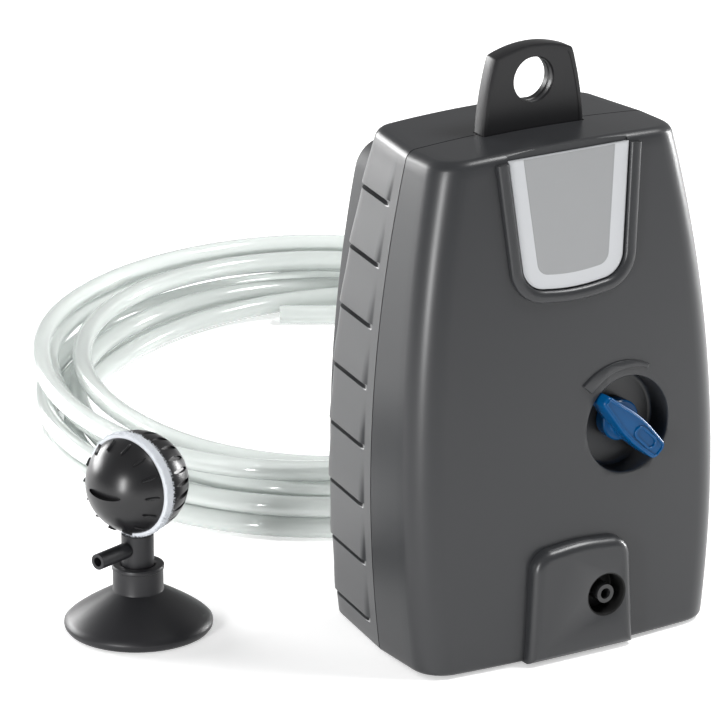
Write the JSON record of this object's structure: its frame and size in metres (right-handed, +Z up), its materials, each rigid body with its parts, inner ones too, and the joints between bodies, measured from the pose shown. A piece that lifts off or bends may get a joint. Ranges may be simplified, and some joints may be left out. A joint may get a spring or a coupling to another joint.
{
  "type": "aquarium air pump",
  "caption": "Upright aquarium air pump with hanging tab, flow knob and recessed outlet, with a loose coil of clear air hose and a ball diffuser on a suction cup.",
  "frame": {"origin": "on the surface the pump stands on, under the seam between its two shells and midway across it", "axes": "+Z up; -Y the front, with the knob and the air outlet; +X to the right seen from the front"},
  "size_m": [0.2531, 0.3143, 0.1641],
  "materials": {
    "housing": "satin dark grey moulded ABS",
    "cover": "matt black-grey moulded ABS",
    "tab": "matt black polypropylene",
    "knob": "blue moulded plastic",
    "plate": "brushed and lacquered label plate",
    "rubber": "soft black rubber",
    "steel": "zinc-plated steel",
    "core": "varnished laminations",
    "winding": "enamelled copper wire",
    "bobbin": "natural nylon",
    "magnet": "sintered ferrite",
    "inner_plastic": "glass-filled nylon",
    "silicone": "translucent silicone",
    "foam": "open-cell filter foam",
    "terminal": "white nylon",
    "diffuser": "glossy black plastic",
    "felt": "white felt",
    "hose": "clear PVC"
  },
  "bodies": {
    "pump": {"front_shell": "housing", "rear_shell": "housing", "back_cover": "cover", "filter_pad": "foam", "nameplate": "plate", "rubber_feet": "rubber", "housing_screws": "steel", "flow_valve_body": "inner_plastic", "outlet_nozzle": "tab", "inner_hose": "silicone", "magnet_core": "core", "coil_bobbin": "bobbin", "coil_winding": "winding", "core_strap": "steel", "chassis_plate": "inner_plastic", "chassis_screws": "steel", "arm_pivot_pins": "steel", "valve_flaps": "silicone", "air_manifold": "inner_plastic", "cable_gland": "rubber", "terminal_block": "terminal", "diaphragm_left": "rubber", "diaphragm_right": "rubber", "air_box_left": "inner_plastic", "air_box_right": "inner_plastic"},
    "tab": {"hanging_tab": "tab"},
    "knob": {"control_knob": "knob", "valve_spindle": "inner_plastic"},
    "arm_left": {"swing_arm_left": "inner_plastic", "arm_magnet_left": "magnet"},
    "arm_right": {"swing_arm_right": "inner_plastic", "arm_magnet_right": "magnet"},
    "cup": {"suction_cup": "rubber"},
    "ball": {"diffuser_stem": "diffuser", "ball_rear_shell": "diffuser", "felt_ring": "felt"},
    "cap": {"ball_front_cap": "diffuser"},
    "hose": {"hose_coil": "hose", "hose_free_end": "hose"}
  },
  "joints": [
    {"name": "tab_slide", "type": "slide", "parent": "pump", "child": "tab", "axis": [0, 0, 1], "range_m": [-0.02, 0]},
    {"name": "knob_turn", "type": "hinge", "parent": "pump", "child": "knob", "pos_m": [0.0165, 0, 0.062], "axis": [0, 1, 0], "range_deg": [-4, 72]},
    {"name": "arm_left_swing", "type": "hinge", "parent": "pump", "child": "arm_left", "pos_m": [-0.01825, 0, 0.014], "axis": [0, 1, 0], "range_deg": [-2.5, 2.5], "stiffness_Nm_per_rad": 0.5},
    {"name": "arm_right_swing", "type": "hinge", "parent": "pump", "child": "arm_right", "pos_m": [0.01825, 0, 0.014], "axis": [0, 1, 0], "range_deg": [-2.5, 2.5], "stiffness_Nm_per_rad": 0.5},
    {"name": "diffuser_lift", "type": "slide", "parent": "pump", "child": "cup", "axis": [0, 0, 1], "range_m": [0, 0.06]},
    {"name": "stem_turn", "type": "hinge", "parent": "cup", "child": "ball", "pos_m": [-0.0914, 0.0509, 0], "axis": [0, 0, 1], "continuous": true},
    {"name": "cap_turn", "type": "hinge", "parent": "ball", "child": "cap", "pos_m": [-0.0914, 0.0509, 0.042], "axis": [-0.9455, -0.3256, 0], "range_deg": [0, 90]},
    {"name": "hose_lift", "type": "slide", "parent": "pump", "child": "hose", "axis": [0, 0, 1], "range_m": [0, 0.08]}
  ],
  "couplings": [
    {"joint": "arm_right_swing", "follows": "arm_left_swing", "ratio": -1}
  ]
}
